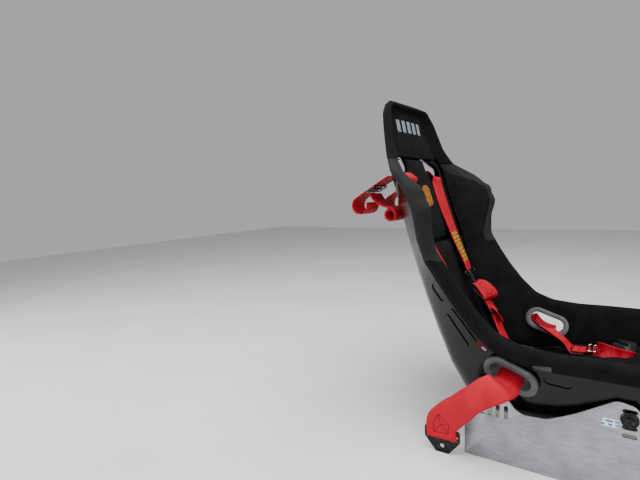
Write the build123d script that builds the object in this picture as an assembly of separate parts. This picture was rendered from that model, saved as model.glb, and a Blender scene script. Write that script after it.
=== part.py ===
from build123d import *
import math
import os

# Racing bucket seat with a red harness and bolted side mounts.
# Millimetres, Z up, sitter faces -Y, X to the sitter's left.
# The origin is on the floor, midway between the four floor bolts.

os.makedirs("parts", exist_ok=True)

# Shell and soft parts
wall = 4.0               # laminate of the shell
soft_gap = 0.4           # between a soft part and what it lies on
joint_gap = 0.6          # between the ends of neighbouring pads and bolsters
hem = 28.0               # how far the cover folds down outside the rim
cover = 3.0              # cover thickness on the outside
crest = 13.0             # padding above the rim
side_pad = 30.0          # bolster thickness inside the wall at the lap slots
hem_gap = 0.9            # between the folded cover and the outside of the shell
crown_height = 13.0      # padding over the top of the head

# Side mounts and floor
plate = 4.0
plate_inside = 246.0     # inner face of a mount plate from the middle
flange_width = 40.0
mount_length = 350.0
floor_bolt_hole_r = 4.5
floor_bolt_spacing_y = 290.0
floor_bolt_inset = 22.0  # hole centre from the plate's inner face
seat_bolt_r = 4.0
bolt_clearance = 0.2
washer_r = 16.0
washer_thick = 2.5
head_r = 6.5
head_height = 5.0
boss_r = 23.0
boss_root = 202.0        # inner end of a boss from the middle, inside the shell's wall
flank_reach = 88.0       # from there to well outside the shell
bolt_grip = 18.0         # thread in the boss
bolt_bore = 21.0
front_bolt = (-154.0, 169.0)
rear_bolt = (117.0, 158.0)

# Harness
web = 75.0               # shoulder and lap webbing width
crotch_web = 50.0
web_thick = 2.4
bar_r = 22.5             # harness bar that the loops are made for
bar_clearance = 1.0
bar_y = 512.0
bar_z = 602.0
slot_x = 106.0           # shoulder slot centre from the middle
slot_z = 703.0
slot_length = 98.0
slot_height = 46.0
slot_round = 14.0
slot_tilt = 24.0
lap_slot_share = 0.886   # place of the lap slots from the pan section to the heel section
lap_slot_level = 137.0   # and their height above the panel
lap_slot_length = 94.0
lap_slot_height = 38.0
lap_slot_tilt = 6.0
bezel_wall = 5.0
bezel_lip = 9.0
bezel_thick = 9.0
bezel_fit = 0.3
bezel_stand = 1.5        # outer lip above the outside of the shell
bezel_through = 12.0     # from the padding's face to the end of the ring
crotch_slot_y = -120.0
crotch_slot_length = 74.0
crotch_slot_width = 26.0
crotch_through = 66.0    # from the outside of the pan to the end of the crotch ring
anchor_hole_r = 5.5
anchor_thick = 3.0
anchor_x = 276.0
anchor_y = 222.0

# Sections of the bucket, front lip to crown. Columns: name, panel y and z,
# rim y and z, half width of the panel, half width at the rim, corner radius
STATIONS = [
    ("lip", -292, 168, -292, 216, 200, 238, 84),
    ("front", -255, 160, -265, 250, 206, 250, 86),
    ("thigh", -170, 128, -182, 268, 210, 258, 90),
    ("mid_pan", -70, 100, -90, 269, 212, 258, 92),
    ("pan", 30, 88, -12, 268, 210, 257, 92),
    ("heel", 125, 86, 58, 275, 200, 255, 80),
    ("tail", 196, 116, 108, 294, 180, 253, 84),
    ("lumbar0", 240, 184, 148, 332, 172, 252, 82),
    ("lumbar1", 274, 268, 188, 381, 168, 252, 82),
    ("waist0", 302, 350, 224, 432, 168, 255, 84),
    ("waist1", 324, 420, 256, 479, 168, 262, 110),
    ("seam", 343, 482, 264, 528, 166, 284, 146),
    ("wing1", 367, 568, 262, 592, 164, 312, 140),
    ("wing2", 384, 635, 282, 646, 162, 314, 146),
    ("shoulder", 398, 690, 328, 690, 158, 294, 205),
    ("neck", 410, 735, 374, 729, 140, 218, 220),
    ("head0", 424, 780, 393, 774, 122, 188, 212),
    ("head1", 433, 822, 404, 818, 114, 172, 194),
    ("head2", 439, 858, 413, 855, 104, 156, 184),
    ("crown", 443, 886, 419, 883, 84, 128, 150),
]
NAMES = [row[0] for row in STATIONS]


class Section:
    """One cross-section of the bucket: a panel, two rounded corners and two walls."""

    def __init__(self, row):
        self.row = row
        name, py, pz, ry, rz, self.half, self.half_rim, self.corner = row
        self.depth = math.hypot(ry - py, rz - pz)
        up = Vector(0, (ry - py) / self.depth, (rz - pz) / self.depth)
        self.plane = Plane(origin=(0, py, pz), x_dir=(1, 0, 0), z_dir=Vector(1, 0, 0).cross(up))
        spread = self.half_rim - self.half
        self.slant = math.hypot(spread, self.depth)
        self.ux = spread / self.slant
        self.ut = self.depth / self.slant
        lean = math.atan2(spread, self.depth)
        self.turn = math.pi / 2 - lean
        self.cut = self.corner * math.tan(self.turn / 2)
        self.hem = min(hem, self.slant - self.cut)
        self.centre = (self.half - self.cut, self.corner)

    def at_wall(self, down, out):
        """Point on the wall, a distance down from the rim and out from the inner face."""
        x = self.half_rim - down * self.ux + out * self.ut
        t = self.depth - down * self.ut - out * self.ux
        return (x, t)

    def at_corner(self, angle, out):
        """Point on the corner arc: angle 0 at the panel, 1 at the wall."""
        a = -math.pi / 2 + angle * self.turn
        r = self.corner + out
        return (self.centre[0] + r * math.cos(a), self.centre[1] + r * math.sin(a))

    def inside(self, level, out=0.0):
        """Half width of the inner face at a height above the panel."""
        top = self.corner - (self.corner + out) * math.cos(self.turn)
        if level < top:
            r = self.corner + out
            return self.centre[0] + math.sqrt(max(r * r - (self.corner - level) ** 2, 0.0))
        down = (self.depth - level - out * self.ux) / self.ut
        return self.at_wall(down, out)[0]

    def world(self, point, side=1):
        return self.plane.from_local_coords(Vector(side * point[0], point[1], 0))

    def line(self, a, b, side=1):
        return Edge.make_line(self.world(a, side), self.world(b, side))

    def arc(self, a, b, c, side=1):
        return Edge.make_three_point_arc(self.world(a, side), self.world(b, side), self.world(c, side))

    def half_u(self, out):
        """Rim end, both ends of the corner arc and its middle, for one offset."""
        return (
            self.at_wall(0, out),
            self.at_corner(1, out),
            self.at_corner(0.5, out),
            self.at_corner(0, out),
        )

    def shell_wire(self, thick=wall):
        """The laminate's section, from the inner face out to a thickness."""
        inner = self.half_u(0)
        outer = self.half_u(thick)
        edges = []
        edges.append(self.line(inner[0], inner[1]))
        edges.append(self.arc(inner[1], inner[2], inner[3]))
        edges.append(Edge.make_line(self.world(inner[3]), self.world(inner[3], -1)))
        edges.append(self.arc(inner[3], inner[2], inner[1], -1))
        edges.append(self.line(inner[1], inner[0], -1))
        edges.append(self.line(inner[0], outer[0], -1))
        edges.append(self.line(outer[0], outer[1], -1))
        edges.append(self.arc(outer[1], outer[2], outer[3], -1))
        edges.append(Edge.make_line(self.world(outer[3], -1), self.world(outer[3])))
        edges.append(self.arc(outer[3], outer[2], outer[1]))
        edges.append(self.line(outer[1], outer[0]))
        edges.append(self.line(outer[0], inner[0]))
        return Wire(edges)

    def cavity_wire(self):
        """All that lies between the walls, up to the line from rim to rim."""
        inner = self.half_u(0)
        edges = []
        edges.append(self.line(inner[0], inner[1]))
        edges.append(self.arc(inner[1], inner[2], inner[3]))
        edges.append(Edge.make_line(self.world(inner[3]), self.world(inner[3], -1)))
        edges.append(self.arc(inner[3], inner[2], inner[1], -1))
        edges.append(self.line(inner[1], inner[0], -1))
        edges.append(Edge.make_line(self.world(inner[0], -1), self.world(inner[0])))
        return Wire(edges)

    def pad_wire(self, fill):
        """A pad on the panel, its sides standing clear of the rounded corners."""
        low = self.centre[0]
        high = self.inside(fill, -soft_gap) - soft_gap
        points = [(-low, soft_gap), (low, soft_gap), (high, fill), (-high, fill)]
        corners = [self.world(p) for p in points]
        return Wire.make_polygon(corners, close=True)

    def bolster_wire(self, side, fill, thick):
        """Padding on one wall that wraps over the rim and hems down outside."""
        foot = fill + soft_gap
        arc_top = self.at_corner(1, -soft_gap)[1]
        start = (self.inside(foot, -soft_gap), foot)
        wall_level = max(arc_top, foot + 2.0)
        lower = (self.inside(wall_level, -soft_gap), wall_level)
        top_in = self.at_wall(-soft_gap, -soft_gap)
        top_out = self.at_wall(-soft_gap, wall + hem_gap)
        hem_in = self.at_wall(self.hem, wall + hem_gap)
        hem_out = self.at_wall(self.hem, wall + hem_gap + cover)
        crown_out = self.at_wall(0, wall + hem_gap + cover)
        crown_top = self.at_wall(-crest, wall - thick * 0.45)
        crown_in = self.at_wall(thick * 0.45, -thick)
        foot_in = (start[0] - thick * 0.75, foot)
        edges = []
        edges.append(self.line(start, lower, side))
        edges.append(self.line(lower, top_in, side))
        edges.append(self.line(top_in, top_out, side))
        edges.append(self.line(top_out, hem_in, side))
        edges.append(self.line(hem_in, hem_out, side))
        edges.append(self.line(hem_out, crown_out, side))
        edges.append(self.arc(crown_out, crown_top, crown_in, side))
        edges.append(self.line(crown_in, foot_in, side))
        edges.append(self.line(foot_in, start, side))
        return Wire(edges)


SECTIONS = [Section(row) for row in STATIONS]


def blend(first, second, share):
    """A section part of the way from one section to the next."""
    row = [first.row[0]]
    for a, b in zip(first.row[1:], second.row[1:]):
        row.append(a + (b - a) * share)
    return Section(row)


def between(first, last):
    """Sections of a soft piece, drawn in at both ends by half the joint gap."""
    rows = SECTIONS[NAMES.index(first):NAMES.index(last) + 1]
    start = rows[1].plane.origin - rows[0].plane.origin
    end = rows[-1].plane.origin - rows[-2].plane.origin
    low = blend(rows[0], rows[1], joint_gap / 2 / start.length)
    high = blend(rows[-2], rows[-1], 1 - joint_gap / 2 / end.length)
    return [low] + rows[1:-1] + [high]


def loft(wires):
    return Solid.make_loft(wires, ruled=True)


def export(shape, node):
    shape.label = node
    export_step(shape, "parts/" + node + ".step")


def side_name(side):
    return "left" if side > 0 else "right"


def stadium(plane, length, height, thick, start=0.0):
    """A slot-shaped block standing on a plane."""
    return extrude(plane * SlotOverall(length, height), thick).moved(Location(plane.z_dir * start))


# Slots: a plane at each slot centre, its X along the slot, its Z out of the seat
def shoulder_plane(side):
    tilt = math.radians(-slot_tilt * side)
    along = (math.cos(tilt), 0, math.sin(tilt))
    return Plane(origin=(side * slot_x, 300.0, slot_z), x_dir=along, z_dir=(0, 1, 0))


def lap_plane(side):
    sections = dict(zip(NAMES, SECTIONS))
    here = blend(sections["pan"], sections["heel"], lap_slot_share)
    down = here.slant - lap_slot_level / here.ut
    centre = here.world(here.at_wall(down, wall), side)
    above = here.world(here.at_wall(0, wall), side)
    front = sections["pan"].world(sections["pan"].at_wall(down, wall), side)
    back = sections["tail"].world(sections["tail"].at_wall(down, wall), side)
    forward = (front - back).normalized()
    up = (above - centre).normalized()
    up = (up - forward * up.dot(forward)).normalized()
    out = forward.cross(up) * -side
    tilt = math.radians(lap_slot_tilt)
    along = forward * math.cos(tilt) - up * math.sin(tilt)
    return Plane(origin=centre, x_dir=along, z_dir=out)


def crotch_plane():
    thigh = SECTIONS[NAMES.index("thigh")]
    pan = SECTIONS[NAMES.index("mid_pan")]
    along = (pan.plane.origin - thigh.plane.origin).normalized()
    out = along.cross(Vector(1, 0, 0)) * -1
    if out.Z > 0:
        out = out * -1
    share = (crotch_slot_y - thigh.plane.origin.Y) / (pan.plane.origin.Y - thigh.plane.origin.Y)
    centre = thigh.plane.origin + (pan.plane.origin - thigh.plane.origin) * share + out * wall
    return Plane(origin=centre, x_dir=(1, 0, 0), z_dir=out)


def slot_cutter(side, clearance):
    plane = shoulder_plane(side)
    length = slot_length + 2 * clearance
    height = slot_height + 2 * clearance
    return extrude(plane * RectangleRounded(length, height, slot_round + clearance), 260)


def lap_cutter(side, clearance):
    size = 2 * (bezel_wall + bezel_fit + clearance)
    return stadium(lap_plane(side), lap_slot_length + size, lap_slot_height + size, 110, -75)


def crotch_cutter(clearance):
    size = 2 * (bezel_wall + bezel_fit + clearance)
    return stadium(crotch_plane(), crotch_slot_length + size, crotch_slot_width + size, 130, -100)

# Shell with its mounting bosses
cavity = loft([s.cavity_wire() for s in SECTIONS])
shell = loft([s.shell_wire() for s in SECTIONS])
for side in (1, -1):
    for y, z in (front_bolt, rear_bolt):
        start = Plane(origin=(side * plate_inside, y, z), x_dir=(0, 1, 0), z_dir=(-side, 0, 0))
        boss = extrude(start * Circle(boss_r), plate_inside - boss_root)
        shell = shell + (boss - cavity)

# Pressed forms of the flanks. Columns: middle y and z, length, height and slope
flute_rise = 2.5         # how far the flutes stand out of the shell
recess_depth = 2.5
FLUTES = [(184, 311, 96, 15, 50), (204, 293, 90, 15, 52)]
RECESSES = [(245, 386, 50, 22, 50), (-26, 221, 58, 26, 5)]
thick_skin = loft([s.shell_wire(wall + flute_rise) for s in SECTIONS])
thin_skin = loft([s.shell_wire(wall - recess_depth) for s in SECTIONS])


def flank_prism(side, form):
    """A slot-shaped prism through one flank, from well inside the wall to well outside."""
    y, z, length, height, slope = form
    plane = Plane(origin=(side * boss_root, y, z), x_dir=(0, side, 0), z_dir=(side, 0, 0))
    outline = plane * Rot(0, 0, side * slope) * SlotOverall(length, height)
    return extrude(outline, flank_reach)


for side in (1, -1):
    for form in FLUTES:
        shell = shell + (thick_skin & flank_prism(side, form))
    for form in RECESSES:
        prism = flank_prism(side, form)
        shell = shell - (prism - thin_skin - cavity)
for side in (1, -1):
    for y, z in (front_bolt, rear_bolt):
        start = Plane(origin=(side * (plate_inside + 1), y, z), x_dir=(0, 1, 0), z_dir=(-side, 0, 0))
        shell = shell - extrude(start * Circle(seat_bolt_r + bolt_clearance), bolt_bore)
    shell = shell - slot_cutter(side, 0) - lap_cutter(side, 0)
shell = shell - crotch_cutter(0)
export(shell, "shell")

# Pads on the panel. Columns: node, first and last section, fill above the panel at each
PADS = [
    ("seat_cushion", "lip", "heel", [28, 44, 56, 64, 64, 52]),
    ("lumbar_pad", "heel", "seam", [52, 40, 30, 26, 26, 27, 28]),
    ("backrest_pad", "seam", "neck", [24, 22, 20, 18, 18]),
    ("head_pad", "neck", "crown", [18, 18, 18, 17, 16]),
]
pads = {}
for node, first, last, fills in PADS:
    rows = between(first, last)
    pads[node] = loft([row.pad_wire(fill) for row, fill in zip(rows, fills)])
for side in (1, -1):
    pads["backrest_pad"] = pads["backrest_pad"] - slot_cutter(side, soft_gap)
pads["seat_cushion"] = pads["seat_cushion"] - crotch_cutter(soft_gap)
for node, pad in pads.items():
    export(pad, node)

# Bolsters on the walls, wrapped over the rim. Columns: name, first and last
# section, and the pad below and the thickness at each section
BOLSTERS = [
    ("thigh_bolster", "lip", "tail", [28, 44, 56, 64, 64, 52, 40], [14, 24, 30, 32, 32, 30, 28]),
    ("waist_bolster", "tail", "seam", [40, 30, 26, 26, 27, 28], [28, 28, 28, 30, 32, 36]),
    ("wing_bolster", "seam", "neck", [28, 24, 22, 20, 18], [36, 38, 38, 30, 22]),
    ("head_bolster", "neck", "crown", [18, 18, 18, 17, 16], [22, 18, 16, 16, 14]),
]
bolsters = {}
for side in (1, -1):
    for name, first, last, fills, thicks in BOLSTERS:
        rows = between(first, last)
        wires = [row.bolster_wire(side, f, t) for row, f, t in zip(rows, fills, thicks)]
        bolster = loft(wires)
        if name == "thigh_bolster":
            bolster = bolster - lap_cutter(side, soft_gap)
        if name == "wing_bolster":
            bolster = bolster - slot_cutter(side, soft_gap)
        bolsters[name, side] = bolster
        export(bolster, name + "_" + side_name(side))

# Crown trim: the padded cover over the top edge of the shell
top = SECTIONS[-1]
trim_steps = [(soft_gap, 0.0), (crown_height * 0.4, 1.5), (crown_height * 0.75, 5.0), (crown_height, 12.0)]
trim_wires = []
for rise, inset in trim_steps:
    back = -wall - cover + inset
    front = top.depth + crest - inset
    low = top.half + wall - inset
    high = top.half_rim + crest - inset
    corners = [(-low, back), (low, back), (high, front), (-high, front)]
    lift = top.plane.z_dir * -rise
    trim_wires.append(Wire.make_polygon([top.world(p) + lift for p in corners], close=True))
export(loft(trim_wires), "crown_trim")

# Bezels: moulded rings in the lap slots and the crotch slot
def bezel(plane, length, height, depth):
    neck = stadium(plane, length + 2 * bezel_wall, height + 2 * bezel_wall, depth + bezel_thick, -depth)
    lip_size = 2 * (bezel_wall + bezel_lip)
    outer_lip = stadium(plane, length + lip_size, height + lip_size, bezel_thick, bezel_stand)
    inner_lip = stadium(plane, length + lip_size, height + lip_size, bezel_thick * 0.6, -depth)
    opening = stadium(plane, length, height, depth + 4 * bezel_thick, -depth - bezel_thick)
    return neck + outer_lip + inner_lip - opening


def seated(ring, plane, neighbours):
    """Cut a ring back to stand just clear of what it lies on."""
    for body, way in neighbours:
        ring = ring - body - body.moved(Location(plane.z_dir * way * bezel_fit))
    return ring


for side in (1, -1):
    depth = side_pad + wall + bezel_through
    plane = lap_plane(side)
    ring = bezel(plane, lap_slot_length, lap_slot_height, depth)
    thigh = bolsters["thigh_bolster", side]
    waist = bolsters["waist_bolster", side]
    ring = seated(ring, plane, [(shell, 1), (thigh, 1), (thigh, -1), (waist, -1)])
    export(ring, "lap_bezel_" + side_name(side))
plane = crotch_plane()
ring = bezel(plane, crotch_slot_length, crotch_slot_width, wall + crotch_through)
export(seated(ring, plane, [(shell, 1), (pads["seat_cushion"], -1)]), "crotch_bezel")

# Side mounts: a plate with slots for the seat bolts and a flange on the floor
half_mount = mount_length / 2
PLATE_OUTLINE = [
    (-half_mount, 0), (-half_mount, 150), (-172, 196), (-132, 204), (-62, 160), (-36, 146),
    (-2, 131), (44, 129), (60, 138), (96, 180), (150, 184), (half_mount, 150), (half_mount, 0),
]
PLATE_ROUNDS = [0, 22, 22, 26, 30, 40, 26, 18, 18, 18, 20, 30, 0]
slot_width = 8.6
front_slot_length = 26.0
front_slot_step = 17.0
rear_slot_length = 30.0
rear_slot_step = 18.5
rear_slot_drop = 32.0    # slot middles below the rear bolt


def rounded_outline(points, radii):
    """A closed outline with each corner rounded by its own radius."""
    edges = []
    ends = []
    count = len(points)
    for i in range(count):
        before = Vector(*points[i - 1])
        here = Vector(*points[i])
        after = Vector(*points[(i + 1) % count])
        back = (before - here).normalized()
        ahead = (after - here).normalized()
        turn = math.pi - math.radians(back.get_angle(ahead))
        step = radii[i] * math.tan(turn / 2)
        first = here + back * step
        last = here + ahead * step
        if radii[i] > 0:
            toward = (back + ahead).normalized()
            reach = radii[i] / math.cos(turn / 2) - radii[i]
            edges.append(Edge.make_three_point_arc(first, here + toward * reach, last))
        ends.append((first, last))
    for i in range(count):
        edges.append(Edge.make_line(ends[i - 1][1], ends[i][0]))
    return make_face(edges)


for side in (1, -1):
    face_plane = Plane(origin=(side * plate_inside, 0, 0), x_dir=(0, side, 0), z_dir=(side, 0, 0))
    outline = [(side * y, z) for y, z in PLATE_OUTLINE]
    mount = extrude(face_plane * rounded_outline(outline, PLATE_ROUNDS), plate)
    for k in (-1, 0, 1, 2):
        z = front_bolt[1] + (k - 1) * front_slot_step
        slot = Pos(side * front_bolt[0], z) * SlotOverall(front_slot_length, slot_width)
        mount = mount - extrude(face_plane * slot, plate)
    for k in range(4):
        y = rear_bolt[0] + (1 - k) * rear_slot_step
        place = Pos(side * y, rear_bolt[1] - rear_slot_drop) * Rot(0, 0, 90)
        slot = place * SlotOverall(rear_slot_length, slot_width)
        mount = mount - extrude(face_plane * slot, plate)
    hole = Pos(side * rear_bolt[0], rear_bolt[1]) * Circle(seat_bolt_r + bolt_clearance)
    mount = mount - extrude(face_plane * hole, plate)
    flange_middle = Pos(side * (plate_inside - flange_width / 2), 0, plate / 2)
    flange = flange_middle * Box(flange_width, mount_length, plate)
    mount = mount + flange
    for end in (-1, 1):
        x = side * (plate_inside - floor_bolt_inset)
        bore = Pos(x, end * floor_bolt_spacing_y / 2, plate / 2) * Cylinder(floor_bolt_hole_r, 3 * plate)
        mount = mount - bore
    export(mount, "side_mount_" + side_name(side))
    bolts = []
    for y, z in (front_bolt, rear_bolt):
        outside = side * (plate_inside + plate)
        start = Plane(origin=(outside, y, z), x_dir=(0, 1, 0), z_dir=(side, 0, 0))
        inward = Plane(origin=(outside, y, z), x_dir=(0, 1, 0), z_dir=(-side, 0, 0))
        bolt = extrude(start * Circle(washer_r), washer_thick)
        bolt = bolt + extrude(start * Circle(head_r), washer_thick + head_height)
        bolt = bolt + extrude(inward * Circle(seat_bolt_r), plate + bolt_grip)
        bolts.append(bolt)
    export(Compound(children=bolts), "mount_bolts_" + side_name(side))


# Harness webbing: rectangles along a route, joined by flat faces
def skinned(rings):
    """A closed solid over rings of corners, each quarter between rings as two flat faces."""
    faces = []
    count = len(rings[0])
    for near, far in zip(rings, rings[1:]):
        for k in range(count):
            m = (k + 1) % count
            if k < count / 2:
                faces.append(Face(Wire.make_polygon([near[k], near[m], far[m]], close=True)))
                faces.append(Face(Wire.make_polygon([near[k], far[m], far[k]], close=True)))
            else:
                faces.append(Face(Wire.make_polygon([near[k], near[m], far[k]], close=True)))
                faces.append(Face(Wire.make_polygon([near[m], far[m], far[k]], close=True)))
    faces.append(Face(Wire.make_polygon(list(reversed(rings[0])), close=True)))
    faces.append(Face(Wire.make_polygon(rings[-1], close=True)))
    return Solid(Shell(faces))


def ribbon(route, width, across, thick=web_thick, bunched=()):
    """Webbing along a route. across gives the direction of its width at each point.

    bunched lists the share of the full width left at single points, such as in a slot.
    """
    points = [Vector(*p) for p in route]
    shares = dict(bunched)
    rings = []
    for i, here in enumerate(points):
        before = points[max(i - 1, 0)]
        after = points[min(i + 1, len(points) - 1)]
        leg_in = (here - before).normalized() if i > 0 else (after - here).normalized()
        leg_out = (after - here).normalized() if i < len(points) - 1 else leg_in
        ahead = (leg_in + leg_out).normalized()
        w = Vector(*across[i]).normalized()
        w = (w - ahead * w.dot(ahead)).normalized()
        n = ahead.cross(w).normalized()
        a = w * width / 2 * shares.get(i, 1.0)
        b = n * thick / 2 / max(leg_in.dot(ahead), 0.6)
        rings.append([here - a - b, here + a - b, here + a + b, here - a + b])
    return skinned(rings)


def slide_frame(plane, width, length, thick=3.0):
    """A pressed metal slide: an outer frame and a bar across its middle."""
    rim = 5.0
    gap = (length - 3 * rim) / 2
    frame = extrude(plane * RectangleRounded(width, length, 5), thick / 2, both=True)
    for end in (-1, 1):
        window = plane * Pos(0, end * (gap + rim) / 2) * Rectangle(width - 2 * rim, gap)
        frame = frame - extrude(window, thick, both=True)
    return frame


def tongue(plane, width=34.0, length=62.0, thick=3.0):
    """A flat steel tongue with a slot for the webbing and a latch hole."""
    body = extrude(plane * RectangleRounded(web + 12, 20, 5), thick / 2, both=True)
    nose = plane * Pos(0, length / 2) * RectangleRounded(width, length, 10)
    body = body + extrude(nose, thick / 2, both=True)
    slot = plane * Rectangle(web - 2, 6)
    hole = plane * Pos(0, length - 16) * Rectangle(14, 9)
    return body - extrude(slot, thick, both=True) - extrude(hole, thick, both=True)


def facing(origin, along, up):
    """A plane at a point, its Y along the webbing and its Z as near as can be to up."""
    y = Vector(*along).normalized()
    z = Vector(*up)
    z = (z - y * z.dot(y)).normalized()
    return Plane(origin=origin, x_dir=y.cross(z), z_dir=z)


# Shoulder straps: a loop round the bar, through the slot and down the backrest
loop_r = bar_r + bar_clearance + web_thick / 2
loop_steps = 14
loop_turn = math.radians(262)
slide_length = 34.0
slide_from_slot = 58.0   # from the strap's turn behind the seat back to its slide
adjuster_length = 44.0
frame_thick = 3.0
chest_web = web - 24
layer = web_thick / 2 + frame_thick / 2 + soft_gap
SLOT_RUN = [424.0, 408.0, 384.0]     # y behind, at the back of and in front of the slot
BACKREST_RUN = [
    (98.0, 373.5, 681.0), (99.0, 369.0, 674.0), (100.0, 367.0, 660.0), (101.0, 346.0, 591.0),
    (101.0, 316.0, 509.0), (100.0, 276.0, 413.0), (100.0, 257.0, 360.0), (100.0, 216.0, 316.0),
]
CHEST_RUN = [
    (92.0, 190.0, 262.0), (76.0, 166.0, 216.0), (62.0, 136.0, 172.0),
    (54.0, 104.0, 147.5), (48.0, 62.0, 151.0), (44.0, 20.0, 154.5),
]


def mirrored(points, side):
    return [(side * x, y, z) for x, y, z in points]


for side in (1, -1):
    plane = shoulder_plane(side)
    low_edge = slot_height / 2 - web_thick / 2 - 2 * soft_gap
    through = []
    for y in SLOT_RUN[1:]:
        through.append(plane.from_local_coords(Vector(0, low_edge, y - plane.origin.Y)))
    start = Vector(side * slot_x, SLOT_RUN[0], through[0].Z - 4.0)
    reach_y = start.Y - bar_y
    reach_z = start.Z - bar_z
    swing = math.acos(loop_r / math.hypot(reach_y, reach_z))
    leave = math.atan2(reach_z, reach_y) - swing
    route = []
    for k in range(loop_steps + 1):
        angle = leave - loop_turn * (1 - k / loop_steps)
        route.append((side * slot_x, bar_y + loop_r * math.cos(angle), bar_z + loop_r * math.sin(angle)))
    route.append(tuple(start))
    route.extend(tuple(p) for p in through)
    route.extend(mirrored(BACKREST_RUN, side))
    flat = (side, 0, 0)
    slanted = tuple(plane.x_dir * side)
    eased = (plane.x_dir.X * side, 0, plane.x_dir.Z * side * 0.5)
    across = [flat] * (loop_steps + 2) + [slanted, slanted, eased] + [flat] * (len(BACKREST_RUN) - 1)
    export(ribbon(route, web, across), "shoulder_strap_" + side_name(side))

    # the slide that closes the loop, held between the two runs of webbing
    bar_run = (Vector(*route[loop_steps]) - start).normalized()
    lift = bar_run.cross(Vector(1, 0, 0)).normalized()
    if lift.Z > 0:
        lift = lift * -1
    middle = start + bar_run * slide_from_slot + lift * (layer + soft_gap)
    frame = slide_frame(facing(middle, bar_run, lift), web + 14, slide_length, frame_thick)
    export(frame, "bar_slide_" + side_name(side))

    # the adjuster below, with the lower strap to its tongue on the cushion
    strap_end = Vector(*route[-1])
    run = (strap_end - Vector(*route[-2])).normalized()
    under = run.cross(Vector(1, 0, 0)).normalized()
    if under.Y < 0:
        under = under * -1
    middle = strap_end - run * 16.0 + under * layer
    frame = slide_frame(facing(middle, run, under), web + 14, adjuster_length, frame_thick)
    export(frame, "shoulder_adjuster_" + side_name(side))
    lower = middle + under * layer
    lower_route = [tuple(lower - run * 14.0), tuple(lower + run * 20.0)]
    lower_route.extend(mirrored(CHEST_RUN, side))
    export(ribbon(lower_route, chest_web, [flat] * len(lower_route)), "chest_strap_" + side_name(side))

    # the tongue at its end, lying on the cushion
    up = Vector(0, 0, 1)
    end = Vector(*lower_route[-1])
    run = (end - Vector(*lower_route[-2])).normalized()
    plane = facing(end - run * 8.0 + up * (layer + 1.5 * soft_gap), run, up)
    export(tongue(plane), "shoulder_tongue_" + side_name(side))

# Lap straps: from the floor anchors behind, through the bezels, onto the cushion
anchor_height = 62.0
anchor_foot = 34.0
anchor_bar = 88.0
anchor_bore_z = 17.0
anchor_slot_drop = 16.0
anchor_rounds = [3, 3, 8, 6, 6, 8]
anchor_slot = 6.0
lap_adjuster_length = 36.0
buckle_r = 31.0
buckle_base = 6.0
buckle_face = 9.0
buckle_knob = 7.0
lap_rise = 2.4           # webbing above the low edge of the slot


def floor_bracket(plane, half_foot, half_bar, foot, height, slot_drop, bore, slot_length):
    """A plate standing on the floor: a foot with a bolt hole and a slotted bar above."""
    outline = [(-half_foot, 0), (half_foot, 0), (half_bar, foot), (half_bar, height),
               (-half_bar, height), (-half_bar, foot)]
    body = extrude(plane * rounded_outline(outline, anchor_rounds), anchor_thick / 2, both=True)
    slot = plane * Pos(0, height - slot_drop) * SlotOverall(slot_length, anchor_slot)
    hole = plane * Pos(0, bore) * Circle(anchor_hole_r)
    return body - extrude(slot, anchor_thick, both=True) - extrude(hole, anchor_thick, both=True)


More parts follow.
